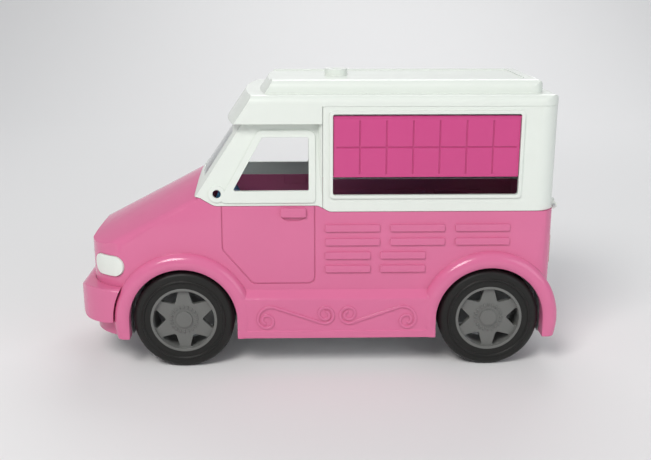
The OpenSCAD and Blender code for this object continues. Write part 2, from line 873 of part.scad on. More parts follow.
module wheel_well(axle_x) {
    difference() {
        intersection() {
            translate([axle_x, pan_y, axle_z]) rotate([90, 0, 0])
                cylinder(r = well_r + wall / 2, h = pan_y - well_y + wall / 2, $fn = 144);
            translate([0, 0, -roof_z]) linear_extrude(2 * roof_z) plan(wall + seam);
        }
        translate([axle_x, pan_y + overrun, axle_z]) rotate([90, 0, 0])
            cylinder(r = well_r, h = pan_y - well_y + overrun, $fn = 144);
        translate([axle_x, pan_y, axle_z]) rotate([90, 0, 0]) cylinder(d = 2 * axle_d, h = body_w);
        translate([axle_x - 2 * well_r, -body_w, sill_z - 2 * well_r])
            cube([4 * well_r, 2 * body_w, 2 * well_r]);
    }
}

module bearing(axle_x) {
    difference() {
        translate([axle_x - axle_d, bearing_y - 2 * wall, sill_z])
            cube([2 * axle_d, 2 * wall, axle_z - sill_z + axle_d]);
        translate([axle_x, 0, axle_z]) rotate([-90, 0, 0])
            cylinder(d = axle_d + 2 * run_clear, h = body_w, $fn = 48);
    }
}

module chassis_pan() {
    color([0.78, 0.79, 0.8]) {
        pan_plate();
        for (x = [front_axle_x, rear_axle_x])
            both_sides() {
                wheel_well(x);
                bearing(x);
            }
    }
}

// Inside: tray, dash, seat and counter
module floor_tray() {
    color([0.8, 0.83, 0.85])
    intersection() {
        translate([0, 0, tray_z - tray_t]) linear_extrude(tray_t) plan(wall + seam);
        translate([tray_x, -body_w, 0]) cube([rear_x - tray_x, 2 * body_w, roof_z]);
        along_x(tray_x, rear_x) translate([0, tray_z])
            square([2 * (wall_y(tray_z) - wall - seam), tray_z], center = true);
    }
}

// dash seen from the side, taken in by t and open at the front and below
module dash_outline(t) {
    x0 = tray_x + wall - t;
    x1 = tray_x + dash_l - t;
    z0 = tray_z - t;
    z1 = tray_z + dash_h - t;
    rounded([[x0, z0], [x1, z0], [x1, z1 - dash_h / 3], [x0 + dash_l * dash_top_share, z1], [x0, z1]],
        [0, 0, wall, wall, 0]);
}

module dash() {
    half = cab_y - 3 * wall;
    color([0.2, 0.55, 0.75])
    difference() {
        along_y(-half, half) dash_outline(0);
        along_y(-half + wall, half - wall) dash_outline(wall);
    }
}

module seat() {
    x1 = serve_x - wall;
    y0 = -cab_y + 2 * wall;
    half = seat_w / 2;
    seat_z = tray_z + seat_h;
    back_z = tray_z + seat_back_h;
    color([0.95, 0.95, 0.93]) {
        difference() {
            intersection() {
                along_y(y0, y0 + seat_w)
                    rounded([[x1 - seat_l, tray_z], [x1, tray_z], [x1, back_z],
                        [x1 - seat_l * seat_top_share, back_z],
                        [x1 - seat_l * seat_foot_share, seat_z], [x1 - seat_l, seat_z]],
                        [0, 0, wall, wall, 2 * wall, wall]);
                along_x(x1 - seat_l, x1) translate([y0 + half, tray_z])
                    rounded([[-half, 0], [half, 0], [half, seat_back_h], [-half, seat_back_h]],
                        [0, 0, half / 2, half / 2]);
            }
            translate([x1 - seat_l + wall, y0 + wall, tray_z - wall])
                cube([seat_l - 2 * wall, seat_w - 2 * wall, seat_h]);
        }
    }
}

module counter() {
    x0 = serve_x + seat_w / 2;
    y1 = serve_y - 2 * wall;
    color([0.2, 0.55, 0.75])
    translate([x0 + counter_l / 2, y1 - counter_w / 2, tray_z]) difference() {
        linear_extrude(counter_h) pad(counter_l, counter_w, 2 * wall);
        translate([0, 0, -wall]) linear_extrude(counter_h)
            pad(counter_l - 2 * wall, counter_w - 2 * wall, wall);
    }
}

module hinge_pin() {
    translate([hinge_x, hinge_y - gap, hinge_z]) rotate([-90, 0, 0])
        cylinder(d = pin_d, h = 2 * barrel_l + 3 * gap, $fn = 36);
}

module hinge_pin_right() {
    color([0.7, 0.72, 0.74]) hinge_pin();
}

module hinge_pin_left() {
    color([0.7, 0.72, 0.74]) mirror([0, 1, 0]) hinge_pin();
}

// Top: cab with leaning sides and a bulging front, and the serving box behind it
module screen_frame() {
    translate([cowl_x, 0, cowl_z]) rotate([0, screen_lean, 0]) children();
}

module cab_solid(t) {
    ext = t > 0 ? overrun : 0;
    low_y = cab_y - t;
    top_y = low_y - cab_lean;
    intersection() {
        screen_frame() translate([screen_r, 0, -roof_z])
            cylinder(r = screen_r - t, h = 2 * roof_z, $fn = 240);
        along_x(front_x, serve_x + serve_round + wall - t)
            polygon([[low_y, belt_rear_z - ext], [low_y, belt_z], [top_y, brow_z], [top_y, brow_z + ext],
                [-top_y, brow_z + ext], [-top_y, brow_z], [-low_y, belt_z], [-low_y, belt_rear_z - ext]]);
    }
}

module serve_solid(t) {
    ext = t > 0 ? overrun : 0;
    y = serve_y - t;
    translate([0, 0, belt_rear_z - ext]) linear_extrude(cap_z - belt_rear_z + 2 * ext)
        rounded([[serve_x + t, -y], [tail_x - t, -y], [tail_x - t, y], [serve_x + t, y]],
            [serve_round - t, tail_round - t, tail_round - t, serve_round - t]);
}

// cab window with t of frame around it and foot of frame below it
module cab_window(t, foot) {
    top_x = cab_win_x - cab_win_top_l;
    low_x = cab_win_x - cab_win_l;
    slope = (cab_win_l - cab_win_top_l) / cab_win_h;
    out = t * sqrt(1 + slope * slope);
    low_z = cab_win_z - foot;
    top_z = cab_win_z + cab_win_h + t;
    r = win_round + t / 3;
    rounded([[low_x - out - foot * slope, low_z], [cab_win_x + t, low_z], [cab_win_x + t, top_z],
        [top_x - out + t * slope, top_z]], [r, r, r + t / 2, r + t / 2]);
}

module serve_window(t) {
    x = serve_win_x + serve_win_l / 2;
    z = serve_win_top - serve_win_h / 2;
    translate([x, z]) pad(serve_win_l + 2 * t, serve_win_h + 2 * t, serve_win_round + t / 2);
}

module screen_outline(t) {
    rounded([[screen_up - t, -screen_half_w - t], [screen_up + screen_h + t, -screen_half_w + frame_w - t],
        [screen_up + screen_h + t, screen_half_w - frame_w + t], [screen_up - t, screen_half_w + t]],
        [win_round, win_round, win_round, win_round]);
}

// windscreen outline pulled through the front wall, square to the slope
module screen_prism(t) {
    screen_frame() translate([screen_half_w, 0, 0]) rotate([0, -90, 0])
        linear_extrude(screen_half_w + overrun) screen_outline(t);
}

// Mirror boss stands square on the leaning cab side
module mirror_socket(d, y0, y1) {
    lean = atan(cab_lean / (brow_z - belt_z));
    translate([front_axle_x + mirror_at, cab_y, belt_z]) rotate([lean, 0, 0])
        translate([0, y0, mirror_up]) rotate([-90, 0, 0]) cylinder(d = d, h = y1 - y0);
}

// walls with their raised frames, mirror bosses and blocks for the hatch pivots
module top_walls() {
    difference() {
        union() {
            cab_solid(0);
            serve_solid(0);
            intersection() {
                cab_solid(-frame_out);
                along_y(-body_w, body_w) cab_window(frame_w, frame_foot);
            }
            along_y(-serve_y - frame_out, -serve_y + wall / 2) serve_window(frame_w / 2);
            both_sides() mirror_socket(mirror_boss_d, -wall, frame_out);
        }
        cab_solid(wall);
        serve_solid(wall);
    }
    for (x = [serve_win_x - pivot_l - wall, serve_win_x + serve_win_l])
        translate([x, -serve_y + wall / 2, hatch_pivot_z - pivot_d])
            cube([pivot_l + wall, wall + pivot_d, 2 * pivot_d]);
}

module top_shell() {
    difference() {
        union() {
            difference() {
                top_walls();
                along_y(-body_w, body_w) belt_line(gap);
                translate([0, 0, gap]) bonnet_block(0);
                along_y(-body_w, body_w) cab_window(0, 0);
                along_y(-body_w, -serve_y + overrun) serve_window(0);
                screen_prism(0);
                both_sides() mirror_socket(mirror_d, -overrun, overrun);
            }
            both_sides() hinge_leaf(hinge_y + barrel_l + gap, hinge_z, hinge_z + hinge_d);
        }
        translate([serve_win_x - pivot_l, hatch_y, hatch_pivot_z]) rotate([0, 90, 0])
            cylinder(d = pivot_d + 2 * run_clear, h = serve_win_l + 2 * pivot_l, $fn = 36);
        both_sides() translate([hinge_x, hinge_y - overrun, hinge_z]) rotate([-90, 0, 0])
            cylinder(d = pin_d + 2 * run_clear, h = 2 * barrel_l + 2 * overrun, $fn = 36);
    }
}

// the cab ends under the brow, and the serving box runs up to the roof edge behind it
module cab_shell() {
    color([0.93, 0.94, 0.92])
    difference() {
        top_shell();
        along_y(-body_w, body_w)
            polygon([[split_x, 0], [rear_x + overrun, 0], [rear_x + overrun, 2 * roof_z],
                [front_x, 2 * roof_z], [front_x, brow_z], [split_x, brow_z]]);
    }
}

module serving_box() {
    color([0.93, 0.94, 0.92])
    difference() {
        top_shell();
        translate([front_x - overrun, -body_w, 0])
            cube([split_x + seam - front_x + overrun, 2 * body_w, 2 * roof_z]);
    }
}

module cap_plan(t) {
    y = cap_y - t;
    rounded([[front_x, -y], [cap_rear_x - t, -y], [cap_rear_x - t, y], [front_x, y]],
        [0, tail_round - t / 2, tail_round - t / 2, 0]);
}

// roof step between z0 and z1, taken in by t, with a leaning bulged front
module roof_step(z0, z1, t) {
    y = cap_y - t;
    x1 = cap_rear_x - t;
    intersection() {
        translate([0, 0, z0]) linear_extrude(z1 - z0) cap_plan(t);
        screen_frame() translate([screen_r - brow_out + t * cos(screen_lean), 0, -roof_z])
            cylinder(r = screen_r, h = 3 * roof_z, $fn = 240);
        along_x(front_x, rear_x)
            rounded([[-y, z0], [y, z0], [y, z1], [-y, z1]], [0, 0, roof_round, roof_round]);
        along_y(-body_w, body_w)
            rounded([[front_x, z0], [x1, z0], [x1, z1], [front_x, z1]], [0, 0, roof_round, 0]);
    }
}

module roof_cap() {
    sign_x = front_axle_x + sign_at;
    color([0.94, 0.95, 0.93])
    difference() {
        union() {
            difference() {
                union() {
                    roof_step(brow_z, ledge_z, 0);
                    roof_step(brow_z, roof_z, tier_in);
                }
                // room over the cab, over the serving box and in the upper step
                intersection() {
                    union() {
                        roof_step(brow_z + wall, ledge_z - wall, wall + eave);
                        roof_step(brow_z + wall, roof_z - wall - roof_sunk, tier_in + wall);
                    }
                    translate([front_x, -body_w, brow_z + wall]) cube([rear_x - front_x, 2 * body_w, roof_z]);
                }
                intersection() {
                    cab_solid(wall);
                    translate([front_x, -body_w, brow_z - overrun])
                        cube([rear_x - front_x, 2 * body_w, overrun + 2 * wall]);
                }
                translate([split_x, -body_w, brow_z - overrun])
                    cube([rear_x - split_x, 2 * body_w, cap_z - brow_z + overrun]);
            }
            translate([sign_x, 0, roof_z - wall - roof_sunk])
                cylinder(d = sign_d, h = sign_h + wall + roof_sunk);
        }
        intersection() {
            translate([0, 0, roof_z - roof_sunk]) linear_extrude(overrun) cap_plan(tier_in + roof_border);
            difference() {
                translate([serve_x - wheel_d / 2, -body_w, roof_z - roof_sunk])
                    cube([rear_x - serve_x + wheel_d / 2, 2 * body_w, overrun]);
                translate([sign_x, 0, 0]) cylinder(d = sign_d, h = 2 * roof_z);
            }
        }
        translate([sign_x, 0, roof_z - roof_sunk]) cylinder(d = sign_hole_d, h = overrun);
    }
}

module windscreen() {
    r = screen_r - screen_back;
    color([0.85, 0.92, 0.95, 0.35])
    intersection() {
        screen_prism(-seam);
        difference() {
            screen_frame() translate([screen_r, 0, 0]) cylinder(r = r, h = roof_z, $fn = 240);
            screen_frame() translate([screen_r, 0, -overrun])
                cylinder(r = r - screen_t, h = 2 * roof_z, $fn = 240);
        }
    }
}

// Hatch: hung from two pivots in the head of the serving window
module hatch() {
    x0 = serve_win_x + gap;
    z0 = hatch_pivot_z - hatch_h;
    column = hatch_l / hatch_cols;
    color([0.8, 0.24, 0.51])
    difference() {
        union() {
            along_x(x0, x0 + hatch_l) {
                translate([hatch_y, hatch_pivot_z]) circle(d = hatch_t, $fn = 36);
                translate([hatch_y - hatch_t / 2, z0]) square([hatch_t, hatch_h]);
            }
            translate([serve_win_x - pivot_l + gap, hatch_y, hatch_pivot_z]) rotate([0, 90, 0])
                cylinder(d = pivot_d, h = serve_win_l + 2 * (pivot_l - gap), $fn = 36);
        }
        along_y(hatch_y - hatch_t, hatch_y - hatch_t / 2 + hatch_depth) {
            for (i = [1 : hatch_cols - 1])
                translate([x0 + i * column - hatch_line / 2, z0 + hatch_border])
                    square([hatch_line, hatch_h - 2 * hatch_border]);
            translate([x0 + hatch_border, hatch_pivot_z - hatch_h / 2 - hatch_line / 2])
                square([hatch_l - 2 * hatch_border, hatch_line]);
        }
    }
}

// Wheels
module tyre_at(axle_x) {
    r0 = rim_d / 2;
    r1 = wheel_d / 2;
    face = flare_y - tyre_inset;
    back = tyre_w - tyre_ring;
    translate([axle_x, face, axle_z]) rotate([90, 0, 0]) rotate_extrude($fn = 120) {
        rounded([[r0, tyre_ring], [r1, tyre_ring], [r1, back], [r0, back]], [0, tyre_round, tyre_round, 0]);
        for (w = [tyre_ring, back])
            translate([r0 + (r1 - r0) * tyre_ring_share, w]) circle(tyre_ring, $fn = 24);
    }
}

// window between two spokes, out to radius r
module rim_window(r) {
    a = 180 / spokes;
    half = spoke_w / 2;
    edge = [r * cos(a) + half * sin(a), r * sin(a) - half * cos(a)];
    rounded([[half / sin(a) + hub_d / 2, 0], [edge[0], -edge[1]], [r, 0], edge],
        [half / 2, half / 3, 0, half / 3]);
}

module rim_at(axle_x) {
    r1 = rim_d / 2;
    face = flare_y - tyre_inset - tyre_ring;
    depth = tyre_w - 2 * tyre_ring;
    translate([axle_x, face, axle_z]) rotate([90, 0, 0])
    difference() {
        union() {
            difference() {
                cylinder(r = r1, h = depth, $fn = 120);
                translate([0, 0, -overrun]) cylinder(r = r1 - rim_ring, h = depth + 2 * overrun, $fn = 120);
            }
            translate([0, 0, spoke_inset]) difference() {
                cylinder(r = r1 - rim_ring / 2, h = spoke_t, $fn = 120);
                for (i = [0 : spokes - 1])
                    rotate([0, 0, 90 + (2 * i + 1) * 180 / spokes]) translate([0, 0, -overrun])
                        linear_extrude(2 * overrun) rim_window(r1 - rim_ring);
            }
            translate([0, 0, spoke_inset / 2]) cylinder(d = hub_d, h = depth - spoke_inset, $fn = 60);
        }
        translate([0, 0, spoke_inset + spoke_t]) cylinder(d = axle_d, h = depth, $fn = 48);
    }
}

module axle_at(axle_x) {
    reach = flare_y - tyre_inset - tyre_ring - spoke_inset - spoke_t;
    translate([axle_x, reach, axle_z]) rotate([90, 0, 0]) cylinder(d = axle_d, h = 2 * reach, $fn = 48);
}

module left_of() {
    mirror([0, 1, 0]) children();
}

module front_axle() {
    color([0.7, 0.72, 0.74]) axle_at(front_axle_x);
}

module rear_axle() {
    color([0.7, 0.72, 0.74]) axle_at(rear_axle_x);
}

module front_tyre_right() {
    color([0.18, 0.18, 0.17]) tyre_at(front_axle_x);
}

module front_tyre_left() {
    color([0.18, 0.18, 0.17]) left_of() tyre_at(front_axle_x);
}

module rear_tyre_right() {
    color([0.18, 0.18, 0.17]) tyre_at(rear_axle_x);
}

module rear_tyre_left() {
    color([0.18, 0.18, 0.17]) left_of() tyre_at(rear_axle_x);
}

module front_rim_right() {
    color([0.5, 0.51, 0.51]) rim_at(front_axle_x);
}

module front_rim_left() {
    color([0.5, 0.51, 0.51]) left_of() rim_at(front_axle_x);
}

module rear_rim_right() {
    color([0.5, 0.51, 0.51]) rim_at(rear_axle_x);
}

module rear_rim_left() {
    color([0.5, 0.51, 0.51]) left_of() rim_at(rear_axle_x);
}

chassis_pan();
left_shell();
right_shell();
front_bumper();
rear_bumper();
headlamp_left();
headlamp_right();
tail_lamp_left();
tail_lamp_right();
grille();
floor_tray();
dash();
seat();
counter();
hinge_pin_left();
hinge_pin_right();
cab_shell();
serving_box();
roof_cap();
windscreen();
hatch();
front_axle();
front_tyre_left();
front_tyre_right();
front_rim_left();
front_rim_right();
rear_axle();
rear_tyre_left();
rear_tyre_right();
rear_rim_left();
rear_rim_right();
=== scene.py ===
import math

import bpy
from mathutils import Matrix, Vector


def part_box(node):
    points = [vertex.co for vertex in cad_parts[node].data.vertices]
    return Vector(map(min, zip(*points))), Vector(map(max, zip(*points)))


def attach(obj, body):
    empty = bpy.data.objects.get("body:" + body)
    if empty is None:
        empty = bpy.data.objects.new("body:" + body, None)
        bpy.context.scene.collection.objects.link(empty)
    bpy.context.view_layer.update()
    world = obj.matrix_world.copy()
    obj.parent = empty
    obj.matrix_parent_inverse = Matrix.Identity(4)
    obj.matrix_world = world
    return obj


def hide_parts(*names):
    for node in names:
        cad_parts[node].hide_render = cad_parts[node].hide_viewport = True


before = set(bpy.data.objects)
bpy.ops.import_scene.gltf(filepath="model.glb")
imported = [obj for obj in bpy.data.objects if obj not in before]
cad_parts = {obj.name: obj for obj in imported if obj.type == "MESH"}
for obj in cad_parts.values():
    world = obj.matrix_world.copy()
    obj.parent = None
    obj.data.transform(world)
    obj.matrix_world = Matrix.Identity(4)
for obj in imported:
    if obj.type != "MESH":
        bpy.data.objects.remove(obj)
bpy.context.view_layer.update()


# Studio
# A pale paper sweep on the floor, one large soft light over the serving side and two weaker ones,
# and the camera at the height and distance that the photograph was taken from.
paper_width = 7.0
paper_front = -2.5
paper_back = 2.4
paper_rise = 2.6
paper_curve = 1.1
curve_steps = 16
edge_reach = 0.01
sky_tint = (0.93, 0.95, 1.0, 1)
sky_strength = 0.32
eye = Vector((-0.009, -0.85, 0.344))
aim = Vector((0.008, -0.02, 0.114))
lens_mm = 50.5
film_mm = 36.0


def edges_picked(piece, wanted):
    """Selects the edges of a piece with both ends accepted by a test, and leaves it in edit mode."""
    bpy.ops.object.mode_set(mode="EDIT")
    bpy.ops.mesh.select_mode(type="EDGE")
    bpy.ops.mesh.select_all(action="DESELECT")
    bpy.ops.object.mode_set(mode="OBJECT")
    for edge in piece.data.edges:
        edge.select = all(wanted(piece.data.vertices[end].co) for end in edge.vertices)
    bpy.ops.object.mode_set(mode="EDIT")


def soft_light(name, place, size, power, tint):
    """A square soft box at a place, turned towards the middle of the truck."""
    bpy.ops.object.light_add(type="AREA", location=place)
    lamp = bpy.context.object
    lamp.name = name
    lamp.rotation_euler = (aim - Vector(place)).to_track_quat("-Z", "Y").to_euler()
    lamp.data.size = size
    lamp.data.energy = power
    lamp.data.color = tint


bpy.ops.object.select_all(action="DESELECT")
bpy.ops.mesh.primitive_plane_add(size=1)
paper = bpy.context.object
paper.name = "paper_sweep"
bpy.ops.object.mode_set(mode="EDIT")
bpy.ops.transform.resize(value=(paper_width, paper_back - paper_front, 1))
bpy.ops.transform.translate(value=(0, (paper_back + paper_front) / 2, 0))
edges_picked(paper, lambda end: end.y > paper_back - edge_reach)
bpy.ops.mesh.extrude_edges_move(TRANSFORM_OT_translate={"value": (0, 0, paper_rise)})
edges_picked(paper, lambda end: end.y > paper_back - edge_reach and end.z < edge_reach)
bpy.ops.mesh.bevel(offset=paper_curve, segments=curve_steps, affect="EDGES")
bpy.ops.object.mode_set(mode="OBJECT")
bpy.ops.object.shade_smooth()

soft_light("key_light", place=(-0.75, -1.5, 1.75), size=0.9, power=33, tint=(1.0, 0.985, 0.96))
soft_light("fill_light", place=(1.6, -1.3, 0.9), size=1.4, power=10, tint=(0.95, 0.98, 1.0))
soft_light("rear_light", place=(0.3, 1.7, 1.5), size=1.6, power=18, tint=(1.0, 1.0, 1.0))

world = bpy.data.worlds.new("studio")
bpy.context.scene.world = world
world.use_nodes = True
sky = world.node_tree.nodes["Background"]
sky.inputs["Color"].default_value = sky_tint
sky.inputs["Strength"].default_value = sky_strength

bpy.ops.object.camera_add(location=eye, rotation=(aim - eye).to_track_quat("-Z", "Y").to_euler())
camera = bpy.context.object
camera.data.lens = lens_mm
camera.data.sensor_width = film_mm
bpy.context.scene.camera = camera
bpy.context.scene.view_settings.view_transform = "Standard"


# Lower body
# Two shells of glossy pink plastic, pressed together at the middle, with the door lines, ribs, handle
# and scrolls moulded into their walls. The front bumper is a separate moulding of the same plastic.
body_pink = (0.69, 0.165, 0.325)
plastic_ior = 1.49
flow_scale = 9.0
gloss_scale = 42.0
gloss_swing = 0.07
peel_scale = 380.0
peel_strength = 0.08
peel_depth = 0.0002
moulded_edge = 0.0007
edge_samples = 6
facet_gap = 0.000002
curve_angle = math.radians(30)


class Wire:
    """One socket of a finish. Sums and products of wires, or of wires and numbers, add Math nodes."""

    def __init__(self, finish, socket):
        self.finish = finish
        self.socket = socket

    def maths(self, operation, first, second):
        return self.finish.node("ShaderNodeMath", {"operation": operation}, [first, second])

    def __add__(self, other):
        return self.maths("ADD", self, other)

    def __radd__(self, other):
        return self.maths("ADD", other, self)

    def __sub__(self, other):
        return self.maths("SUBTRACT", self, other)

    def __rsub__(self, other):
        return self.maths("SUBTRACT", other, self)

    def __mul__(self, other):
        return self.maths("MULTIPLY", self, other)

    def __rmul__(self, other):
        return self.maths("MULTIPLY", other, self)


class Finish:
    """A material that starts as a plain shader. node() adds a node, and feed() sets the shader's sockets."""

    def __init__(self, name, **constants):
        self.material = bpy.data.materials.new(name)
        self.material.use_nodes = True
        self.tree = self.material.node_tree
        self.shader = self.tree.nodes["Principled BSDF"]
        self.feed(**constants)

    def put(self, value, socket):
        if isinstance(value, Wire):
            self.tree.links.new(value.socket, socket)
        else:
            socket.default_value = value

    def feed(self, **values):
        """Sets or wires sockets of the shader, which are named in small letters, such as base_color."""
        for words, value in values.items():
            self.put(value, self.shader.inputs[words.replace("_", " ").title().replace("Ior", "IOR")])

    def node(self, kind, settings, inputs, output=0):
        """Adds a node, sets what it is, then its inputs by name or number, and gives one of its outputs."""
        made = self.tree.nodes.new(kind)
        for words, value in settings.items():
            setattr(made, words, value)
        pairs = inputs.items() if isinstance(inputs, dict) else enumerate(inputs)
        for key, value in pairs:
            self.put(value, made.inputs[key])
        return Wire(self, made.outputs[output])

    def cloud(self, scale, detail=3.0):
        """Noise from 0 to 1 with that many features per metre."""
        place = self.node("ShaderNodeTexCoord", {}, {}, output="Object")
        return self.node("ShaderNodeTexNoise", {}, {"Vector": place, "Scale": scale, "Detail": detail})

    def blend(self, factor, low, high):
        """A colour between two colours."""
        return self.node("ShaderNodeMix", {"data_type": "RGBA"}, {0: factor, 6: low, 7: high}, output=2)

    def relief(self, height, strength, depth, edge):
        """A bump of depth metres where height is 1, on edges that look rounded by a radius."""
        rounded = self.node("ShaderNodeBevel", {"samples": edge_samples}, {"Radius": edge})
        inputs = {"Strength": strength, "Distance": depth, "Height": height, "Normal": rounded}
        return self.node("ShaderNodeBump", {}, inputs)


def shade(colour, lighter):
    """The colour with its brightness changed by a share, as four numbers for a socket."""
    return tuple(min(1.0, c * (1 + lighter)) for c in colour) + (1.0,)


def moulded(name, colour, roughness, spread=0.06):
    """Injection moulded plastic: faint flow clouds in the colour, uneven gloss and a fine orange peel."""
    plastic = Finish(name, ior=plastic_ior)
    flow = plastic.cloud(flow_scale)
    gloss = plastic.cloud(gloss_scale, detail=4.0)
    peel = plastic.cloud(peel_scale, detail=1.0)
    plastic.feed(
        base_color=plastic.blend(flow, shade(colour, -spread), shade(colour, spread)),
        roughness=roughness + gloss_swing * (gloss - 0.5),
        normal=plastic.relief(peel, peel_strength, peel_depth, moulded_edge),
    )
    return plastic.material


def dressed(node, body, material, shaping=None):
    """The CAD piece with its facets merged, shaped further where asked, and its curves shaded smooth."""
    piece = bpy.data.objects.new(node + "_moulding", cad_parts[node].data.copy())
    bpy.context.collection.objects.link(piece)
    bpy.ops.object.select_all(action="DESELECT")
    piece.select_set(True)
    bpy.context.view_layer.objects.active = piece
    bpy.ops.mesh.customdata_custom_splitnormals_clear()
    bpy.ops.object.mode_set(mode="EDIT")
    bpy.ops.mesh.select_all(action="SELECT")
    bpy.ops.mesh.remove_doubles(threshold=facet_gap)
    bpy.ops.object.mode_set(mode="OBJECT")
    if shaping:
        shaping(piece, *(Vector(corner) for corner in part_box(node)))
    bpy.ops.object.shade_smooth_by_angle(angle=curve_angle)
    even = piece.modifiers.new("even shading", "WEIGHTED_NORMAL")
    even.keep_sharp = True
    bpy.ops.object.modifier_apply(modifier=even.name)
    piece.data.materials.clear()
    piece.data.materials.append(material)
    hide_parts(node)
    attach(piece, body)
    return piece


pink_plastic = moulded("pink_plastic", body_pink, roughness=0.17)
for node in ("left_shell", "right_shell", "front_bumper"):
    dressed(node, "chassis", pink_plastic)


# Chassis pan and floor tray
# Two mouldings of satin grey plastic. The pan closes the shells from below and holds the axles, and the
# tray above it is the floor.
pan_grey = (0.56, 0.575, 0.585)
pan_plastic = moulded("pan_plastic", pan_grey, roughness=0.46)
for node in ("chassis_pan", "floor_tray"):
    dressed(node, "chassis", pan_plastic)


# Dash and counter
# Hollow mouldings of blue plastic that stand on the floor tray, the dash in the cab and the counter
# in the kitchen behind it.
inside_blue = (0.04, 0.31, 0.59)
blue_plastic = moulded("blue_plastic", inside_blue, roughness=0.34)
for node in ("dash", "counter"):
    dressed(node, "chassis", blue_plastic)


# White mouldings
# One glossy white plastic. The seat, the rear bumper, the grille and the head lamps are fixed to the lower
# body. The cab, the serving box and the roof make up the top, which lifts on the rear hinge.
top_white = (0.79, 0.835, 0.78)
white_plastic = moulded("white_plastic", top_white, roughness=0.22, spread=0.025)
for node in ("seat", "rear_bumper", "grille", "headlamp_left", "headlamp_right"):
    dressed(node, "chassis", white_plastic)
for node in ("cab_shell", "serving_box", "roof_cap"):
    dressed(node, "top", white_plastic)


# Tail lamps
# Lenses of glossy red plastic, pressed into pockets in the tail.
lamp_red = (0.56, 0.012, 0.02)
red_plastic = moulded("red_plastic", lamp_red, roughness=0.18)
for node in ("tail_lamp_left", "tail_lamp_right"):
    dressed(node, "chassis", red_plastic)


# Windscreen
# A thin sheet of clear plastic, sprung into the opening from inside.
clear_tint = (0.93, 0.97, 0.98, 1)
clear_ior = 1.45
clear_roughness = 0.03
haze_scale = 60.0
haze_swing = 0.05
clear = Finish("clear_plastic", base_color=clear_tint, ior=clear_ior, transmission_weight=1.0)
clear.feed(roughness=clear_roughness + haze_swing * clear.cloud(haze_scale))
dressed("windscreen", "top", clear.material)


# Serving hatch
# A flap of glossy magenta plastic with pressed lines, hung from two pivots in the head of its window.
hatch_magenta = (0.60, 0.062, 0.235)
magenta_plastic = moulded("magenta_plastic", hatch_magenta, roughness=0.2)
dressed("hatch", "hatch", magenta_plastic)


# Steel wire
# The axles and the hinge pins are cut from drawn steel wire. The axles turn in the pan, and the pins join
# the top to the lower body.
wire_grey = (0.56, 0.57, 0.58, 1)
wire_roughness = 0.3
drawing_scale = 300.0
drawing_swing = 0.12
steel = Finish("drawn_steel", base_color=wire_grey, metallic=1.0)
steel.feed(roughness=wire_roughness + drawing_swing * steel.cloud(drawing_scale))
for node in ("hinge_pin_left", "hinge_pin_right"):
    dressed(node, "chassis", steel.material)
for end in ("front", "rear"):
    dressed(f"{end}_axle", f"{end}_wheels", steel.material)


# Tyres
# Hard charcoal plastic, moulded in one piece and pushed over the rims. Four fine grooves run around the
# tread, and a thin raised ring around each wall.
tyre_charcoal = (0.013, 0.013, 0.012)
tyre_sheen = 0.3
tyre_roughness = 0.44
tyre_edge = 0.0008
dust_scale = 30.0
scuff_scale = 55.0
scuff_swing = 0.14
grain_scale = 700.0
grain_strength = 0.5
grain_depth = 0.00007
groove_count = 4
groove_pitch = 0.0042
groove_width = 0.0011
groove_depth = 0.0008
tread_share = 0.97


def faces_picked(piece, wanted):
    """Selects the faces of a piece that a test accepts, and leaves it in edit mode."""
    bpy.ops.object.mode_set(mode="EDIT")
    bpy.ops.mesh.select_mode(type="FACE")
    bpy.ops.mesh.select_all(action="DESELECT")
    bpy.ops.object.mode_set(mode="OBJECT")
    for face in piece.data.polygons:
        face.select = wanted(face)
    bpy.ops.object.mode_set(mode="EDIT")


def cut_grooves(piece, low, high):
    """Cuts rings of edges into the tread and sinks the faces between each two towards the axle."""
    hub = (low + high) / 2
    radius = (high.z - low.z) / 2
    first_line = hub.y - groove_pitch * (groove_count - 1) / 2
    lines = [first_line + groove_pitch * number for number in range(groove_count)]

    def on_tread(face):
        return math.hypot(face.center.x - hub.x, face.center.z - hub.z) > radius * tread_share

    def in_groove(face):
        return on_tread(face) and any(abs(face.center.y - line) < groove_width / 2 for line in lines)

    for line in lines:
        for wall in (line - groove_width / 2, line + groove_width / 2):
            faces_picked(piece, on_tread)
            bpy.ops.mesh.bisect(plane_co=(hub.x, wall, hub.z), plane_no=(0, 1, 0))
    faces_picked(piece, in_groove)
    sunk = 1 - groove_depth / radius
    bpy.ops.mesh.extrude_region_move()
    bpy.ops.transform.resize(value=(sunk, 1, sunk), center_override=hub)
    bpy.ops.object.mode_set(mode="OBJECT")


tyre = Finish("tyre_plastic", ior=plastic_ior, specular_ior_level=tyre_sheen)
dust = tyre.cloud(dust_scale, detail=4.0)
scuffs = tyre.cloud(scuff_scale, detail=5.0)
grain = tyre.cloud(grain_scale, detail=2.0)
tyre.feed(
    base_color=tyre.blend(dust, shade(tyre_charcoal, -0.12), shade(tyre_charcoal, 0.25)),
    roughness=tyre_roughness + scuff_swing * (scuffs - 0.5),
    normal=tyre.relief(grain, grain_strength, grain_depth, tyre_edge),
)
for end in ("front", "rear"):
    for side in ("left", "right"):
        dressed(f"{end}_tyre_{side}", f"{end}_wheels", tyre.material, cut_grooves)


# Rims
# Satin grey plastic, moulded in one piece: six star spokes in a thin ring, a hub cap and a ring of raised
# dashes around the cap, which is modelled once here and copied to the other three rims.
rim_grey = (0.145, 0.148, 0.140)
dash_count = 20
dash_ring_radius = 0.0118
dash_width = 0.0014
dash_length = 0.0026
dash_height = 0.0011
dash_round_steps = 2
spoke_inset = 0.003
facing_share = 0.5
detail_angle = math.radians(40)
rim_plastic = moulded("rim_plastic", rim_grey, roughness=0.34)
for end in ("front", "rear"):
    for side in ("left", "right"):
        dressed(f"{end}_rim_{side}", f"{end}_wheels", rim_plastic)


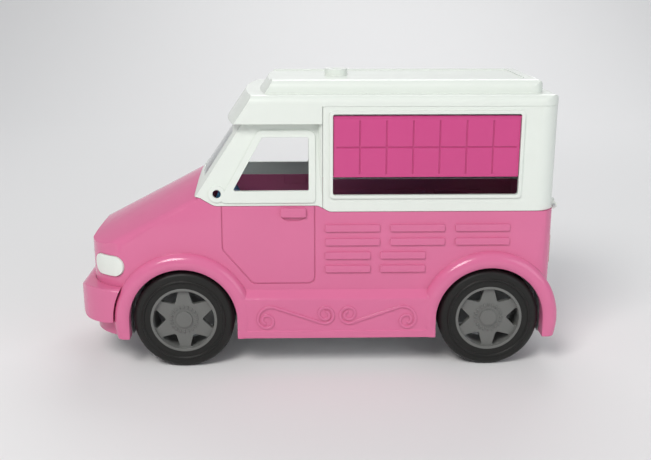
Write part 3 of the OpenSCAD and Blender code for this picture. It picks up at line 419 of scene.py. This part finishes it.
def hub_of(end):
    """Where the left rim of an axle carries its dashes: the hub line on the outer face of the spokes."""
    low, high = (Vector(corner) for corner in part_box(f"{end}_rim_left"))
    return Vector(((low.x + high.x) / 2, low.y + spoke_inset, (low.z + high.z) / 2))


def faces_facing(piece, direction):
    """Selects the faces of a piece that point along a direction, and leaves it in edit mode."""
    faces_picked(piece, lambda face: face.normal.dot(Vector(direction)) > facing_share)


def started(name):
    """Names the primitive that was just added and puts its place and size into its mesh."""
    piece = bpy.context.object
    piece.name = name
    bpy.ops.object.transform_apply(location=True, rotation=True, scale=True)
    return piece


def copied(piece, name, shift, mirrored=False):
    """A copy with its own mesh, moved by shift, or mirrored to the other side first."""
    twin = bpy.data.objects.new(name, piece.data.copy())
    bpy.context.collection.objects.link(twin)
    bpy.ops.object.select_all(action="DESELECT")
    twin.select_set(True)
    bpy.context.view_layer.objects.active = twin
    bpy.ops.object.mode_set(mode="EDIT")
    bpy.ops.mesh.select_all(action="SELECT")
    if mirrored:
        bpy.ops.transform.resize(value=(1, -1, 1), center_override=(0, 0, 0))
        bpy.ops.mesh.normals_make_consistent(inside=False)
    bpy.ops.transform.translate(value=shift)
    bpy.ops.object.mode_set(mode="OBJECT")
    return twin


front_hub = hub_of("front")
bpy.ops.object.select_all(action="DESELECT")
bpy.ops.mesh.primitive_cube_add(size=1, location=front_hub + Vector((0, 0, dash_ring_radius)))
bpy.context.object.scale = (dash_width, 2 * dash_height, dash_length)
dashes = started("hub_dashes_front_left")
faces_facing(dashes, (0, -1, 0))
bpy.ops.mesh.bevel(offset=dash_height / 2, segments=dash_round_steps, affect="EDGES")
bpy.ops.mesh.select_all(action="SELECT")
bpy.ops.mesh.spin(
    steps=dash_count - 1, dupli=True, angle=math.tau * (1 - 1 / dash_count), center=front_hub, axis=(0, 1, 0)
)
bpy.ops.object.mode_set(mode="OBJECT")
bpy.ops.object.shade_smooth_by_angle(angle=detail_angle)
dashes.data.materials.append(rim_plastic)
hub_dashes = {("front", "left"): dashes}
for end in ("front", "rear"):
    for side in ("left", "right"):
        if (end, side) not in hub_dashes:
            shift = Vector((hub_of(end).x - front_hub.x, 0, 0))
            hub_dashes[end, side] = copied(dashes, f"hub_dashes_{end}_{side}", shift, side == "right")
        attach(hub_dashes[end, side], f"{end}_wheels")


# Screws
# Six small cross-head steel screws hold the pan to the shells. Each sits in a raised ring that is moulded
# under the pan.
screw_end = 0.190
screw_side = 0.058
screw_rows = (-0.055, 0.089)
ring_radius = 0.0052
ring_height = 0.0014
ring_wall = 0.0013
ring_corners = 48
head_radius = 0.0034
head_height = 0.0012
head_corners = 40
head_round_steps = 4
head_angle = math.radians(35)
slot_length = 1.3 * head_radius
slot_width = 0.0009
slot_depth = 0.0007
pan_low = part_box("chassis_pan")[0][2]
screw_spots = [(x, y) for x in screw_rows for y in (-screw_side, screw_side)]
screw_spots = [(-screw_end, 0.0), *screw_spots, (screw_end, 0.0)]

bpy.ops.object.select_all(action="DESELECT")
bpy.ops.mesh.primitive_cylinder_add(
    vertices=ring_corners, radius=ring_radius, depth=2 * ring_height, location=(0, 0, pan_low)
)
ring = started("screw_ring")
faces_facing(ring, (0, 0, -1))
bpy.ops.mesh.inset(thickness=ring_wall)
bpy.ops.mesh.extrude_region_move(TRANSFORM_OT_translate={"value": (0, 0, ring_height)})
bpy.ops.object.mode_set(mode="OBJECT")
bpy.ops.object.shade_smooth_by_angle(angle=detail_angle)
ring.data.materials.append(pan_plastic)

bpy.ops.object.select_all(action="DESELECT")
bpy.ops.mesh.primitive_cylinder_add(
    vertices=head_corners, radius=head_radius, depth=head_height, location=(0, 0, pan_low - head_height / 2)
)
screw = started("screw_head")
faces_facing(screw, (0, 0, -1))
bpy.ops.mesh.bevel(offset=head_height / 2, segments=head_round_steps, affect="EDGES")
bpy.ops.object.mode_set(mode="OBJECT")
bpy.ops.object.select_all(action="DESELECT")
bpy.ops.mesh.primitive_cube_add(size=1, location=(0, 0, pan_low - head_height))
bpy.context.object.scale = (slot_length, slot_width, 2 * slot_depth)
driver_mark = started("driver_mark")
bpy.ops.object.mode_set(mode="EDIT")
bpy.ops.mesh.spin(steps=1, dupli=True, angle=math.pi / 2, center=(0, 0, 0), axis=(0, 0, 1))
bpy.ops.object.mode_set(mode="OBJECT")
bpy.ops.object.select_all(action="DESELECT")
screw.select_set(True)
bpy.context.view_layer.objects.active = screw
slot_cut = screw.modifiers.new("cross slot", "BOOLEAN")
slot_cut.object = driver_mark
slot_cut.use_self = True
bpy.ops.object.modifier_apply(modifier=slot_cut.name)
bpy.data.objects.remove(driver_mark)
bpy.ops.object.shade_smooth_by_angle(angle=head_angle)
screw.data.materials.clear()
screw.data.materials.append(steel.material)

for number, (x, y) in enumerate(screw_spots, start=1):
    for first, slot in ((ring, "pan"), (screw, "steel")):
        piece = copied(first, f"{first.name}_{number}", (x, y, 0))
        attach(piece, "chassis")
for first in (ring, screw):
    bpy.data.objects.remove(first)
